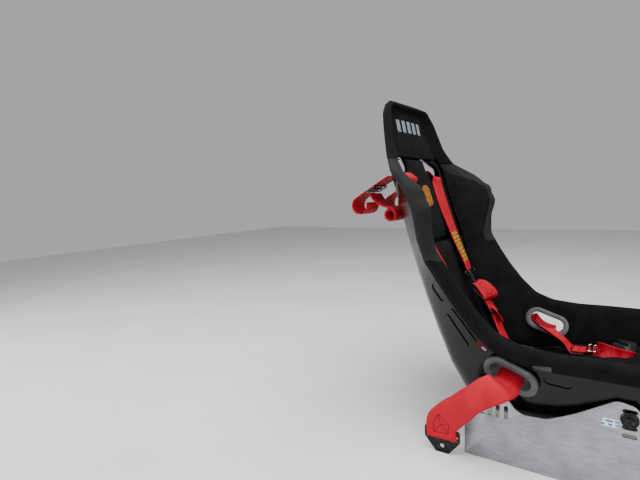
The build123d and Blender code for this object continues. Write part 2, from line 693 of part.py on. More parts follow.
for side in (1, -1):
    x = side * anchor_x
    face_plane = Plane(origin=(x, anchor_y, 0), x_dir=(0, 1, 0), z_dir=(1, 0, 0))
    bracket = floor_bracket(face_plane, 16, anchor_bar / 2, anchor_foot, anchor_height,
                            anchor_slot_drop, anchor_bore_z, web + 3)
    export(bracket, "lap_anchor_" + side_name(side))

    plane = lap_plane(side)
    along = tuple(plane.x_dir)
    rest = side * (lap_slot_height / 2 - web_thick / 2 - lap_rise)
    outside = x + side * (anchor_thick / 2 + web_thick / 2 + soft_gap)
    # each stop: where the webbing passes, the way its width points, and its share of the width
    stops = [
        ((outside, anchor_y, anchor_height - 26), (0, -1, 0), 1),
        ((outside + side * 1.0, anchor_y, anchor_height + 12), (0, -1, 0), 1),
        ((side * 285.0, 205.0, 98.0), (side * 0.2, -0.9, -0.35), 0.96),
        ((side * 293.0, 172.0, 132.0), (side * 0.4, -0.7, -0.5), 0.9),
        ((side * 301.0, 140.0, 166.0), (side * 0.5, -0.55, -0.65), 0.86),
        ((side * 304.0, 108.0, 191.0), (side * 0.4, -0.6, -0.7), 0.88),
        ((side * 294.0, 84.0, 202.0), (side * 0.25, -0.8, -0.55), 0.88),
        (tuple(plane.from_local_coords(Vector(0, rest, 30.0))), along, 0.82),
        (tuple(plane.from_local_coords(Vector(0, rest, 14.0))), along, 0.8),
        (tuple(plane.from_local_coords(Vector(0, rest, -56.0))), along, 0.8),
        ((side * 152.0, 52.0, 196.0), (side * 0.75, -0.55, -0.1), 0.62),
        ((side * 152.0, 24.0, 168.0), (side, -0.1, 0), 0.8),
        ((side * 157.0, -2.0, 160.5), (side, 0, 0), 1),
        ((side * 158.0, -32.0, 163.5), (side, 0, 0), 1),
    ]
    route = [point for point, way, share in stops]
    across = [way for point, way, share in stops]
    bunched = [(i, stop[2]) for i, stop in enumerate(stops)]
    export(ribbon(route, web, across, bunched=bunched), "lap_strap_" + side_name(side))

    # the adjuster on the end of the strap and the short strap beyond it
    end = Vector(*route[-1])
    run = (end - Vector(*route[-2])).normalized()
    up = Vector(0, 0, 1)
    plane = facing(end - run * 10.0 + up * (layer + soft_gap), run, up)
    frame = slide_frame(plane, web + 14, lap_adjuster_length, frame_thick)
    export(frame, "lap_adjuster_" + side_name(side))
    first = plane.origin + plane.z_dir * layer
    short = [first - plane.y_dir * 12.0, first + plane.y_dir * 22.0]
    short.extend([Vector(side * 160.0, -86.0, 175.5), Vector(side * 161.0, -116.0, 180.0)])
    webbing = ribbon([tuple(p) for p in short], crotch_web, [(side, 0, 0)] * len(short))
    export(webbing, "buckle_strap_" + side_name(side))
    buckle_run = (short[-1] - short[-2]).normalized()
    if side > 0:
        rise = web_thick / 2 + buckle_base / 2 + soft_gap
        plane = facing(short[-1] + buckle_run * 20.0 + up * rise, buckle_run, up)
        body = extrude(plane * Circle(buckle_r), buckle_base / 2, both=True)
        face = plane.offset(buckle_base / 2)
        body = body + extrude(face * Circle(buckle_r - 3), buckle_face)
        knob = face.offset(buckle_face)
        body = body + extrude(knob * Rot(0, 0, 35) * SlotOverall(2 * buckle_r - 12, 13), buckle_knob)
        export(body, "rotary_buckle")
    else:
        plane = facing(short[-1] - buckle_run * 8.0 + up * (layer + soft_gap), buckle_run, up)
        export(tongue(plane), "lap_tongue_right")

# Crotch strap: from its floor anchor up through the bezel and forward on the cushion
crotch_anchor_y = -96.0
crotch_anchor_height = 50.0
crotch_anchor_foot = 28.0
crotch_anchor_bore_z = 16.0
crotch_slot_drop = 13.0
half_bar = crotch_web / 2 + 8
face_plane = Plane(origin=(0, crotch_anchor_y, 0), x_dir=(1, 0, 0), z_dir=(0, -1, 0))
bracket = floor_bracket(face_plane, 15, half_bar, crotch_anchor_foot, crotch_anchor_height,
                        crotch_slot_drop, crotch_anchor_bore_z, crotch_web + 3)
export(bracket, "crotch_anchor")
plane = crotch_plane()
front_y = crotch_anchor_y - anchor_thick / 2 - web_thick / 2 - soft_gap
route = [(0, front_y, 30.0), (0, front_y, 60.0)]
for lift, out in [(0, 22.0), (0, 4.0), (0, -wall - crotch_through), (4.0, -wall - crotch_through - 9.0)]:
    route.append(tuple(plane.from_local_coords(Vector(0, lift, out))))
route.extend([(0, -146.0, 189.7), (0, -172.0, 186.4), (0, -206.0, 193.0)])
export(ribbon(route, crotch_web, [(1, 0, 0)] * len(route)), "crotch_strap")
end = Vector(*route[-1])
run = (end - Vector(*route[-2])).normalized()
plane = facing(end - run * 8.0 + Vector(0, 0, layer + 0.75 * soft_gap), run, Vector(0, 0, 1))
export(tongue(plane, 26.0, 50.0), "crotch_tongue")
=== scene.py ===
import math

import bpy
from mathutils import Matrix, Vector, noise
from mathutils.bvhtree import BVHTree


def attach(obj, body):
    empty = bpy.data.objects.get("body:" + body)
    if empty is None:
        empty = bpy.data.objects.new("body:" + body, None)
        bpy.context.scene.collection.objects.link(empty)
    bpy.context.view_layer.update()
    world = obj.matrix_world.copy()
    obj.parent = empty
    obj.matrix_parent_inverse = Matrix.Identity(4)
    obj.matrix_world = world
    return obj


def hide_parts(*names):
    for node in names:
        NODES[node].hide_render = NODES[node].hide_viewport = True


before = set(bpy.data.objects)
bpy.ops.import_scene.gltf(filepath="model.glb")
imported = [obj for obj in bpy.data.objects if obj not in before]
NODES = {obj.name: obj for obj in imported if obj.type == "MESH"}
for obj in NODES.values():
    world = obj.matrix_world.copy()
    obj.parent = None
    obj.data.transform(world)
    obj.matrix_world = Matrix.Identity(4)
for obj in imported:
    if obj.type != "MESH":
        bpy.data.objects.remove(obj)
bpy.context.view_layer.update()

MM = 0.001

# The view: a wide lens on the sitter's right, beside the cushion at chest height,
# that looks across the seat towards its back and slightly down.
VIEW_FROM = (-1.300, -0.160, 0.640)
VIEW_TURN = 0.615        # radians from +X towards +Y
VIEW_DOWN = 0.100
VIEW_ROLL = -0.040
LENS_PIXELS = 455.0      # focal length in pixels of the 640 pixel wide frame
FRAME_WIDTH = 640.0
SENSOR = 36.0


def add_camera():
    """The scene's camera, with its lens in pixels turned to millimetres of a usual sensor."""
    forward = Vector((math.cos(VIEW_TURN) * math.cos(VIEW_DOWN),
                      math.sin(VIEW_TURN) * math.cos(VIEW_DOWN),
                      -math.sin(VIEW_DOWN)))
    level = Vector((math.sin(VIEW_TURN), -math.cos(VIEW_TURN), 0.0))
    up = level.cross(forward)
    right = level * math.cos(VIEW_ROLL) + up * math.sin(VIEW_ROLL)
    up = up * math.cos(VIEW_ROLL) - level * math.sin(VIEW_ROLL)
    data = bpy.data.cameras.new("camera")
    data.sensor_width = SENSOR
    data.lens = LENS_PIXELS / FRAME_WIDTH * SENSOR
    camera = bpy.data.objects.new("camera", data)
    bpy.context.scene.collection.objects.link(camera)
    turn = Matrix((right, up, -forward)).transposed()
    camera.matrix_world = Matrix.Translation(VIEW_FROM) @ turn.to_4x4()
    bpy.context.scene.camera = camera


add_camera()


# The shell: one bucket moulded in glass-fibre laminate, with a black gel coat.
# It carries every pad, and bolts to the side mounts through moulded bosses.
def linear(code):
    """The linear colour of an sRGB hex code."""
    parts = [int(code[i:i + 2], 16) / 255 for i in (1, 3, 5)]
    straight = [c / 12.92 if c <= 0.04045 else ((c + 0.055) / 1.055) ** 2.4 for c in parts]
    return (*straight, 1.0)


def plug(made, inputs):
    """Fill a node's inputs: each with a value, a hex colour, or another node's output to link."""
    for key, value in inputs.items():
        if isinstance(value, bpy.types.NodeSocket):
            made.id_data.links.new(value, made.inputs[key])
        elif isinstance(value, str):
            made.inputs[key].default_value = linear(value)
        else:
            made.inputs[key].default_value = value


def node(tree, kind, inputs, out=0, **settings):
    """Add one shader node with its settings, values and links, and return one of its outputs."""
    made = tree.nodes.new("ShaderNode" + kind)
    for key, value in settings.items():
        setattr(made, key, value)
    plug(made, inputs)
    return made.outputs[out]


SHADER = "Principled BSDF"
# a Mix node of colours: its setting, its output and its sockets, by number as their names repeat
COLOURS = {"out": 2, "data_type": "RGBA"}
SHARE, FIRST, SECOND = 0, 6, 7


def new_finish(name):
    """A new material, its node tree, and the place of each point in the object's own frame."""
    made = bpy.data.materials.new(name)
    made.use_nodes = True
    return made, made.node_tree, node(made.node_tree, "TexCoord", {}, "Object")


def mottle(tree, place, size, detail, low, high, least=0.0, most=1.0):
    """Where a surface is worn, dusty or rubbed: blotches about one size across, in millimetres."""
    cloud = node(tree, "TexNoise", {"Vector": place, "Scale": 1 / (size * MM), "Detail": detail})
    return node(tree, "MapRange", {
        "Value": cloud, "From Min": low, "From Max": high, "To Min": least, "To Max": most})


def patchy(tree, place, size, detail, low, high, plain, worn):
    """Colour that turns from plain to worn in such blotches."""
    share = mottle(tree, place, size, detail, low, high)
    return node(tree, "Mix", {SHARE: share, FIRST: plain, SECOND: worn}, **COLOURS)


def relief(tree, place, size, detail, depth, under=None):
    """Soft lumps about one size across and one depth high, in millimetres, over another relief."""
    lumps = node(tree, "TexNoise", {"Vector": place, "Scale": 1 / (size * MM), "Detail": detail})
    inputs = {"Height": lumps, "Distance": depth * MM}
    if under is not None:
        inputs["Normal"] = under
    return node(tree, "Bump", inputs)


def gel_coat():
    """Black polyester gel coat from a polished mould: glossy over a faintly wavy laminate."""
    made, tree, place = new_finish("gel_coated_glass_fibre")
    wave = relief(tree, place, 45.0, 1.0, 1.6)
    plug(tree.nodes[SHADER], {
        "Base Color": patchy(tree, place, 60.0, 6.0, 0.55, 0.8, "#030304", "#0b0c0d"),
        "Roughness": mottle(tree, place, 35.0, 5.0, 0.35, 0.7, 0.13, 0.26),
        "IOR": 1.5,
        "Specular IOR Level": 0.24,
        "Normal": relief(tree, place, 2.5, 2.0, 0.03, wave)})
    return made


SHARP_TURN = math.radians(28)    # an edge that turns by more than this is shaded sharp
BEVEL_TURN = math.radians(40)    # and by more than this, it is worn round
WELD_GAP = 0.00001


def shade_by_angle():
    """Modifier nodes that shade a mesh smooth, but for its sharp edges."""
    made = bpy.data.node_groups.new("shade_by_angle", "GeometryNodeTree")
    for way in ("INPUT", "OUTPUT"):
        made.interface.new_socket("Geometry", in_out=way, socket_type="NodeSocketGeometry")
    names = ("NodeGroupInput", "GeometryNodeSetShadeSmooth", "GeometryNodeSetShadeSmooth", "NodeGroupOutput")
    chain = [made.nodes.new(name) for name in names]
    for before, after in zip(chain, chain[1:]):
        made.links.new(before.outputs[0], after.inputs[0])
    turn = made.nodes.new("GeometryNodeInputMeshEdgeAngle")
    sharp = made.nodes.new("FunctionNodeCompare")
    sharp.operation = "GREATER_THAN"
    sharp.inputs[1].default_value = SHARP_TURN
    made.links.new(turn.outputs[0], sharp.inputs[0])
    chain[2].domain = "EDGE"
    chain[2].inputs["Shade Smooth"].default_value = False
    made.links.new(sharp.outputs[0], chain[2].inputs["Selection"])
    return made


SMOOTH_SHADING = shade_by_angle()


def dress(part, material, round_edges=0.0):
    """Give a carried-over node its material, worn edges of a radius in metres, and smooth shading."""
    obj = NODES[part]
    obj.data.materials.clear()
    obj.data.materials.append(material)
    weld = obj.modifiers.new("weld", "WELD")
    weld.merge_threshold = WELD_GAP
    if round_edges:
        bevel = obj.modifiers.new("edges", "BEVEL")
        bevel.limit_method = "ANGLE"
        bevel.angle_limit = BEVEL_TURN
        bevel.width = round_edges
        bevel.segments = 2
    obj.modifiers.new("shading", "NODES").node_group = SMOOTH_SHADING


dress("shell", gel_coat())


# The pads: foam under black nylon velour. One cover runs round the whole edge,
# from the head over wings and hips to the thighs; three pads lie inside it,
# and a band of charcoal ribbed cloth is sewn over the wings.
SOFT_CELL = 0.0048       # spacing of the cover's mesh
CRACK = 0.0022           # widest crack closed between the solids under one cover, from each side
TUCK = 0.0018            # how far each foam block starts inside its cover
SEAM_SINK = 0.0045       # how deep the covers are drawn in along a seam
MAX_SINK = 0.22          # and never by more than this share of the foam's thickness
SWELL = 0.0048           # most that a cover may rise from there
SWELL_STEPS = 20
PRESSURE = 4.0
SEAM_HOLD = 0.92         # how firmly a cover is held where it meets another
ON_HARD = (0.0045, 0.016)        # distance from the shell or a bezel: held within, free beyond
ON_SEAM = (0.001, 0.020)         # distance from the next cover: in the seam within, clear beyond
SMOOTHING = 14           # passes of smoothing before the seams are drawn in
HARD_SMOOTHING = 0.2     # share of it that cloth held by the shell gets
SEAM_SMOOTHING = 0.3     # share of it that cloth in a seam misses
THICKEST = 0.1           # foam thicker than this counts as this thick
UNDER_SKIN = 0.0005      # its thickness is measured from so far below the surface
EDGE = ["head_pad", "crown_trim"]
for word in ("left", "right"):
    EDGE += [part + "_bolster_" + word for part in ("head", "wing", "waist", "thigh")]
# each cover: the carried-over solids that it stands for, and how full it is
COVERS = {
    "edge_cover": (EDGE, 0.88),
    "seat_cover": (["seat_cushion"], 0.75),
    "lumbar_cover": (["lumbar_pad"], 0.7),
    "backrest_cover": (["backrest_pad"], 0.7),
}
SOFT = [part for parts, fill in COVERS.values() for part in parts]
HARD = ["shell", "lap_bezel_left", "lap_bezel_right", "crotch_bezel"]


VELOUR_SHINE = {
    "Roughness": 0.95, "Specular IOR Level": 0.1,
    "Sheen Weight": 0.03, "Sheen Roughness": 0.4, "Sheen Tint": "#7c8088",
}
PILE = 0.0022            # tufts of the pile, drawn coarser than real so that they show
RIB = 0.0022             # from one rib of the knit to the next
FLECK = 0.0016           # paler yarn in the knit
WAVE = 0.314             # scale at which a wave texture has one band in each metre


def velour_pile(tree, place):
    """Colour of black nylon velour brushed in patches, its pile, and the soft dents of its foam."""
    brushed = patchy(tree, place, 45.0, 5.0, 0.38, 0.66, "#070708", "#0e0f10")
    pile = node(tree, "TexNoise", {"Vector": place, "Scale": 1 / PILE, "Detail": 2.0})
    tips = node(tree, "MapRange", {"Value": pile, "From Min": 0.5, "From Max": 0.75, "To Max": 0.5})
    colour = node(tree, "Mix", {SHARE: tips, FIRST: brushed, SECOND: "#17181a"}, **COLOURS)
    return colour, pile, relief(tree, place, 30.0, 2.0, 0.8)


def velour():
    """Black nylon velour: a short dense pile, dull face on and paler at a glancing angle."""
    made, tree, place = new_finish("black_velour")
    colour, pile, dents = velour_pile(tree, place)
    plug(tree.nodes[SHADER], {
        **VELOUR_SHINE,
        "Base Color": colour,
        "Normal": node(tree, "Bump", {"Height": pile, "Distance": 0.0003, "Normal": dents})})
    return made


def grip_cloth():
    """Velour with a sewn-in band of charcoal ribbed knit, its ribs lying across the band."""
    made, tree, place = new_finish("velour_with_ribbed_grip")
    plain, pile, dents = velour_pile(tree, place)
    edge = node(tree, "Attribute", {}, "Fac", attribute_name="grip")
    inside = node(tree, "MapRange", {"Value": edge, "From Min": -0.0006, "From Max": 0.0006})
    ribs = node(tree, "TexWave", {
        "Vector": place, "Scale": WAVE / RIB, "Distortion": 0.6, "Detail": 1.0}, "Fac", bands_direction="Z")
    knit = node(tree, "Mix", {SHARE: ribs, FIRST: "#151516", SECOND: "#222324"}, **COLOURS)
    flecks = mottle(tree, place, FLECK / MM, 2.0, 0.45, 0.7)
    knit = node(tree, "Mix", {SHARE: flecks, FIRST: knit, SECOND: "#2b2c2e"}, **COLOURS)
    colour = node(tree, "Mix", {SHARE: inside, FIRST: plain, SECOND: knit}, **COLOURS)
    from_seam = node(tree, "Math", {0: edge}, operation="ABSOLUTE")
    seam = node(tree, "MapRange", {
        "Value": from_seam, "From Min": 0.0008, "From Max": 0.0022, "To Min": 1.0, "To Max": 0.0})
    colour = node(tree, "Mix", {SHARE: seam, FIRST: colour, SECOND: "#060607"}, **COLOURS)
    drawn_in = node(tree, "MapRange", {"Value": from_seam, "From Max": 0.004})
    drawn_in = node(tree, "Bump", {"Height": drawn_in, "Distance": 0.0016, "Normal": dents})
    face = node(tree, "Mix", {0: inside, 2: pile, 3: ribs}, data_type="FLOAT")
    plug(tree.nodes[SHADER], {
        **VELOUR_SHINE,
        "Base Color": colour,
        "Normal": node(tree, "Bump", {"Height": face, "Distance": 0.0005, "Normal": drawn_in})})
    return made


def step(value, low, high):
    """Nothing below low and one above high, with an eased rise between them."""
    share = min(max((value - low) / (high - low), 0.0), 1.0)
    return share * share * (3.0 - 2.0 * share)


def settled(obj):
    """The object's mesh with its modifiers applied, as it is now."""
    graph = bpy.context.evaluated_depsgraph_get()
    return bpy.data.meshes.new_from_object(obj.evaluated_get(graph))


def gathered(meshes):
    """The points and the faces of several meshes, numbered on from one mesh to the next."""
    points = []
    faces = []
    for mesh in meshes:
        start = len(points)
        points.extend(v.co.copy() for v in mesh.vertices)
        faces.extend([start + i for i in p.vertices] for p in mesh.polygons)
    return points, faces


def tree_of(parts):
    """One search tree over several carried-over nodes."""
    return BVHTree.FromPolygons(*gathered([NODES[part].data for part in parts]))


def remeshed(name, parts):
    """A cover's first shape: one even mesh over copies of its foam blocks."""
    points, faces = gathered([NODES[part].data for part in parts])
    mesh = bpy.data.meshes.new(name)
    mesh.from_pydata(points, [], faces)
    obj = bpy.data.objects.new(name, mesh)
    bpy.context.scene.collection.objects.link(obj)
    # the second remesh closes the cracks between blocks that only touch
    for push in (CRACK, -CRACK):
        remesh = obj.modifiers.new("remesh", "REMESH")
        remesh.mode = "VOXEL"
        remesh.voxel_size = SOFT_CELL
        remesh.use_smooth_shade = True
        mesh = settled(obj)
        obj.modifiers.clear()
        normals = [v.normal.copy() for v in mesh.vertices]
        for v, normal in zip(mesh.vertices, normals):
            v.co += normal * push
        obj.data = mesh
    return obj


def smoothed(obj, free):
    """Its mesh smoothed, less where the shell holds it and along its seams."""
    smooth = obj.modifiers.new("smooth", "SMOOTH")
    smooth.factor = 0.5
    smooth.iterations = SMOOTHING
    group = obj.vertex_groups.new(name="free")
    for i, (open_share, seam_share) in enumerate(free):
        share = HARD_SMOOTHING + (1.0 - HARD_SMOOTHING) * open_share
        group.add([i], share * (1.0 - SEAM_SMOOTHING * seam_share), "REPLACE")
    smooth.vertex_group = "free"
    mesh = settled(obj)
    obj.modifiers.clear()
    return mesh


def soft_block(name, parts):
    """A cover drawn in at its seams, and for each point how open and how near a seam it lies."""
    obj = remeshed(name, parts)
    hard = tree_of(HARD)
    others = tree_of([part for part in SOFT if part not in parts])
    free = []
    for v in obj.data.vertices:
        open_share = step(hard.find_nearest(v.co)[3], *ON_HARD)
        seam_share = 1.0 - step(others.find_nearest(v.co)[3], *ON_SEAM)
        free.append((open_share, seam_share))
    mesh = smoothed(obj, free)
    own = BVHTree.FromPolygons(*gathered([mesh]))
    sinks = []
    for v, (open_share, seam_share) in zip(mesh.vertices, free):
        thick = own.ray_cast(v.co - v.normal * UNDER_SKIN, -v.normal, THICKEST)[3]
        sink = min(TUCK + SEAM_SINK * seam_share, MAX_SINK * (THICKEST if thick is None else thick))
        sinks.append(v.normal * sink * open_share)
    for v, sink in zip(mesh.vertices, sinks):
        v.co -= sink
    obj.data = mesh
    return obj, free


def swell(blocks):
    """Let the foam press its covers out by a cloth simulation, each vertex held by its seam share."""
    starts = {}
    for obj, free in blocks:
        obj.vertex_groups.clear()
        held = obj.vertex_groups.new(name="held")
        for i, (open_share, seam_share) in enumerate(free):
            held.add([i], 1.0 - open_share * (1.0 - SEAM_HOLD * seam_share), "REPLACE")
        cloth = obj.modifiers.new("cloth", "CLOTH")
        settings = cloth.settings
        settings.quality = 4
        settings.vertex_group_mass = "held"
        settings.use_pressure = True
        settings.uniform_pressure_force = PRESSURE
        settings.effector_weights.gravity = 0.0
        settings.tension_stiffness = 12
        settings.compression_stiffness = 6
        settings.bending_stiffness = 0.6
        starts[obj.name] = [v.co.copy() for v in obj.data.vertices]
    for frame_number in range(1, SWELL_STEPS + 1):
        bpy.context.scene.frame_set(frame_number)
    for obj, free in blocks:
        risen = settled(obj)
        obj.modifiers.clear()
        for i, start in enumerate(starts[obj.name]):
            move = risen.vertices[i].co - start
            limit = SWELL * free[i][0]
            if move.length > limit:
                move = move.normalized() * limit
            obj.data.vertices[i].co = start + move
        bpy.data.meshes.remove(risen)
    bpy.context.scene.frame_set(1)


# the wings' padded crest: panel y and z, rim y and z, half width at the rim
WING_RIM = [
    (274, 268, 188, 381, 252), (302, 350, 224, 432, 255), (324, 420, 256, 479, 262),
    (343, 482, 264, 528, 284), (367, 568, 262, 592, 312), (384, 635, 282, 646, 314),
    (398, 690, 328, 690, 294), (410, 735, 374, 729, 218), (424, 780, 393, 774, 188),
]
CREST = 13.0             # padding above the rim
GRIP_INSIDE = 0.044      # reach of the grip band from the crest line towards the sitter
GRIP_OUTSIDE = 0.036     # and over the wing's outer flank
GRIP_END = 0.466         # height at which the band ends, on the crest and inside it
GRIP_SLANT = 0.6         # how much higher it ends outside
GRIP_TOP = 0.724


def crest_line():
    """The line along the top of the left wing's padding, in metres."""
    points = []
    for panel_y, panel_z, rim_y, rim_z, half in WING_RIM:
        arm = Vector((0.0, rim_y - panel_y, rim_z - panel_z)).normalized()
        points.append((Vector((half, rim_y, rim_z)) + arm * CREST) * MM)
    return points


def grip_share(co, line):
    """How far a point lies inside the grip band, in metres, less than zero outside it."""
    here = Vector((abs(co.x), co.y, co.z))
    best = None
    for a, b in zip(line, line[1:]):
        span = b - a
        t = min(max((here - a).dot(span) / span.length_squared, 0.0), 1.0)
        gap = (here - (a + span * t)).length
        if best is None or gap < best[0]:
            best = (gap, a + span * t)
    outside = here.x - best[1].x
    reach = GRIP_INSIDE + (GRIP_OUTSIDE - GRIP_INSIDE) * step(outside, -0.02, 0.02)
    low = here.z - GRIP_END - max(outside, 0.0) * GRIP_SLANT
    return min(reach - best[0], low, GRIP_TOP - here.z)


VELOUR = velour()
GRIP = grip_cloth()
line = crest_line()
blocks = [soft_block(name, parts) for name, (parts, fill) in COVERS.items()]
swell(blocks)
for obj, free in blocks:
    parts, fill = COVERS[obj.name]
    obj.vertex_groups.clear()
    mesh = obj.data
    if obj.name == "edge_cover":
        mesh.materials.append(GRIP)
        band = mesh.attributes.new("grip", "FLOAT", "POINT")
        band.data.foreach_set("value", [grip_share(v.co, line) for v in mesh.vertices])
    else:
        mesh.materials.append(VELOUR)
    for p in mesh.polygons:
        p.use_smooth = True
    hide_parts(*parts)
    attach(obj, "root")


# Bezels: rings of grey glass-filled nylon pressed into the lap and crotch slots,
# so that the webbing doesn't chafe on the edge of the laminate.
def moulded_nylon():
    """Grey moulded nylon: satin, with the fine spark texture of its mould."""
    made, tree, place = new_finish("moulded_grey_nylon")
    plug(tree.nodes[SHADER], {
        "Base Color": patchy(tree, place, 20.0, 5.0, 0.42, 0.7, "#2f3235", "#3f4245"),
        "Roughness": mottle(tree, place, 12.0, 4.0, 0.3, 0.7, 0.40, 0.55),
        "IOR": 1.53,
        "Normal": relief(tree, place, 0.9, 2.0, 0.08)})
    return made


NYLON = moulded_nylon()
for part in ("lap_bezel_left", "lap_bezel_right", "crotch_bezel"):
    dress(part, NYLON, 0.0008)


# Side mounts: laser-cut aluminium plates with a bent floor flange, clear
# anodised over brushed metal, each bolted to the shell and to the floor.
def scratched(tree, place, size, run, detail=3.0):
    """Hairline scratches along Y: one size across, in millimetres, and longer by the run."""
    drawn_out = node(tree, "Mapping", {"Vector": place, "Scale": (1.0, 1.0 / run, 1.0)})
    return node(tree, "TexNoise", {"Vector": drawn_out, "Scale": 1 / (size * MM), "Detail": detail})


def anodised_plate():
    """Brushed aluminium under clear anodising: long fine scratches, dull edges and a dusty film."""
    made, tree, place = new_finish("anodised_aluminium")
    brushed = scratched(tree, place, 1.1, 25.0)
    grooves = node(tree, "MapRange", {"Value": brushed, "From Min": 0.35, "From Max": 0.65})
    metal = node(tree, "Mix", {SHARE: grooves, FIRST: "#8b8d93", SECOND: "#a5a7ad"}, **COLOURS)
    film = mottle(tree, place, 50.0, 5.0, 0.4, 0.7)
    dust = node(tree, "MapRange", {"Value": film, "To Max": 0.45})
    plug(tree.nodes[SHADER], {
        "Base Color": node(tree, "Mix", {SHARE: dust, FIRST: metal, SECOND: "#75767a"}, **COLOURS),
        "Metallic": 0.9,
        "Roughness": node(tree, "MapRange", {"Value": film, "To Min": 0.34, "To Max": 0.55}),
        "Normal": node(tree, "Bump", {"Height": brushed, "Distance": 0.00005})})
    return made


def black_oxide():
    """Black-oxide steel: oil-dark, with bare metal worn through on corners and faces."""
    made, tree, place = new_finish("black_oxide_steel")
    plug(tree.nodes[SHADER], {
        "Base Color": patchy(tree, place, 6.0, 5.0, 0.55, 0.7, "#26272a", "#5a534c"),
        "Metallic": 1.0,
        "Roughness": mottle(tree, place, 4.0, 3.0, 0.3, 0.7, 0.35, 0.6),
        "Normal": relief(tree, place, 1.2, 2.0, 0.06)})
    return made


ALUMINIUM = anodised_plate()
OXIDE = black_oxide()
for word in ("left", "right"):
    dress("side_mount_" + word, ALUMINIUM, 0.0006)
    dress("mount_bolts_" + word, OXIDE, 0.0006)
    dress("lap_anchor_" + word, OXIDE, 0.0005)
dress("crotch_anchor", OXIDE, 0.0005)


# Harness webbing: 75 mm and 50 mm woven polyester, dyed red, 2.4 mm thick. The shoulder
# straps start in open loops behind the seat. All run through the slots to pressed steel.
WEB = 75.0
NARROW_WEB = 51.0
CROTCH_WEB = 50.0
WEB_THICK = 2.4
WEB_COLUMNS = 14
WEB_STEP = 6.0           # spacing of the cross rows along the webbing
WEB_SAG = 0.55           # how deep squeezed webbing curls, as a share of its half width
WEB_RIPPLE = 0.35        # unevenness of webbing that lies loose
SELVEDGE = 0.72          # thickness left at its edges, as a share
YARN = 0.0030            # warp yarns side by side, drawn twice as wide as real so that they show
TWILL = 0.0032           # and the slanted lines over them
HERRINGBONE = 0.0094     # width of one slanted band of the weave
SEWN_HALF = 0.018        # the sewn box at the end of a strap: half its width,
SEWN_LENGTH = 0.040      # its length,
SEWN_FROM_END = 0.036    # and how far its middle is from the end
STITCH = 0.0044          # one stitch and one gap


def herringbone(tree, across, along):
    """Height of the weave: lines of twill that slant in bands, over the warp yarns."""
    band = node(tree, "Math", {0: across, 1: HERRINGBONE}, operation="PINGPONG")
    twill = node(tree, "Math", {0: along, 1: band}, operation="ADD")
    twill = node(tree, "Math", {0: twill, 1: 2 * math.pi / TWILL}, operation="MULTIPLY")
    twill = node(tree, "Math", {0: twill}, operation="SINE")
    yarn = node(tree, "Math", {0: across, 1: 2 * math.pi / YARN}, operation="MULTIPLY")
    yarn = node(tree, "Math", {0: yarn}, operation="SINE")
    both = node(tree, "Math", {0: twill, 1: yarn}, operation="ADD")
    return node(tree, "MapRange", {"Value": both, "From Min": -1.6, "From Max": 1.6})


def sewn_end(tree, across, along):
    """Thread at a strap's end, which is turned back and sewn through with a box and a cross."""
    # both distances from the middle of the box are 1 at its sides
    wide = node(tree, "Math", {0: across}, operation="ABSOLUTE")
    wide = node(tree, "Math", {0: wide, 1: SEWN_HALF}, operation="DIVIDE")
    deep = node(tree, "Math", {0: along, 1: SEWN_FROM_END}, operation="SUBTRACT")
    deep = node(tree, "Math", {0: deep}, operation="ABSOLUTE")
    deep = node(tree, "Math", {0: deep, 1: SEWN_LENGTH / 2}, operation="DIVIDE")
    rim = node(tree, "Math", {0: wide, 1: deep}, operation="MAXIMUM")
    inside = node(tree, "MapRange", {"Value": rim, "From Min": 0.98, "To Min": 1.0, "To Max": 0.0})
    seams = []
    for one, other, thick in ((rim, 1.0, 0.03), (wide, deep, 0.04)):
        off = node(tree, "Math", {0: one, 1: other}, operation="SUBTRACT")
        off = node(tree, "Math", {0: off}, operation="ABSOLUTE")
        seams.append(node(tree, "MapRange", {
            "Value": off, "From Min": thick, "From Max": 2 * thick, "To Min": 1.0, "To Max": 0.0}))
    box, cross = seams
    cross = node(tree, "Math", {0: cross, 1: inside}, operation="MULTIPLY")
    rows = node(tree, "Math", {0: box, 1: cross}, operation="MAXIMUM")
    stitches = node(tree, "Math", {0: across, 1: along}, operation="ADD")
    stitches = node(tree, "Math", {0: stitches, 1: STITCH / 2}, operation="PINGPONG")
    stitches = node(tree, "MapRange", {
        "Value": stitches, "From Min": STITCH * 0.08, "From Max": STITCH * 0.14, "To Min": 0.35})
    return node(tree, "Math", {0: rows, 1: stitches}, operation="MULTIPLY")


def woven_polyester():
    """Red harness webbing: thick dyed yarns with dark gaps between them, and darker thread."""
    made, tree, place = new_finish("woven_polyester_red")
    # U and V are metres across the webbing, from its middle, and along it, from its end
    uv = node(tree, "TexCoord", {}, "UV")
    across = node(tree, "SeparateXYZ", {0: uv}, "X")
    along = node(tree, "SeparateXYZ", {0: uv}, "Y")
    weave = herringbone(tree, across, along)
    gaps = node(tree, "MapRange", {"Value": weave, "To Min": 0.35, "To Max": 0.0})
    dyed = patchy(tree, place, 50.0, 4.0, 0.4, 0.7, "#a6031b", "#b50b27")
    dyed = node(tree, "Mix", {SHARE: gaps, FIRST: dyed, SECOND: "#5f0210"}, **COLOURS)
    thread = sewn_end(tree, across, along)
    pulled_down = node(tree, "Math", {0: 1.0, 1: thread}, operation="SUBTRACT")
    pulled_down = node(tree, "Bump", {"Height": pulled_down, "Distance": 0.0005})
    plug(tree.nodes[SHADER], {
        "Base Color": node(tree, "Mix", {SHARE: thread, FIRST: dyed, SECOND: "#4d0410"}, **COLOURS),
        "Roughness": 0.7,
        "Specular IOR Level": 0.2,
        "Sheen Weight": 0.04,
        "Sheen Roughness": 0.4,
        "Sheen Tint": "#ff5060",
        "Normal": node(tree, "Bump", {"Height": weave, "Distance": 0.0003, "Normal": pulled_down})})
    return made


WEBBING = woven_polyester()


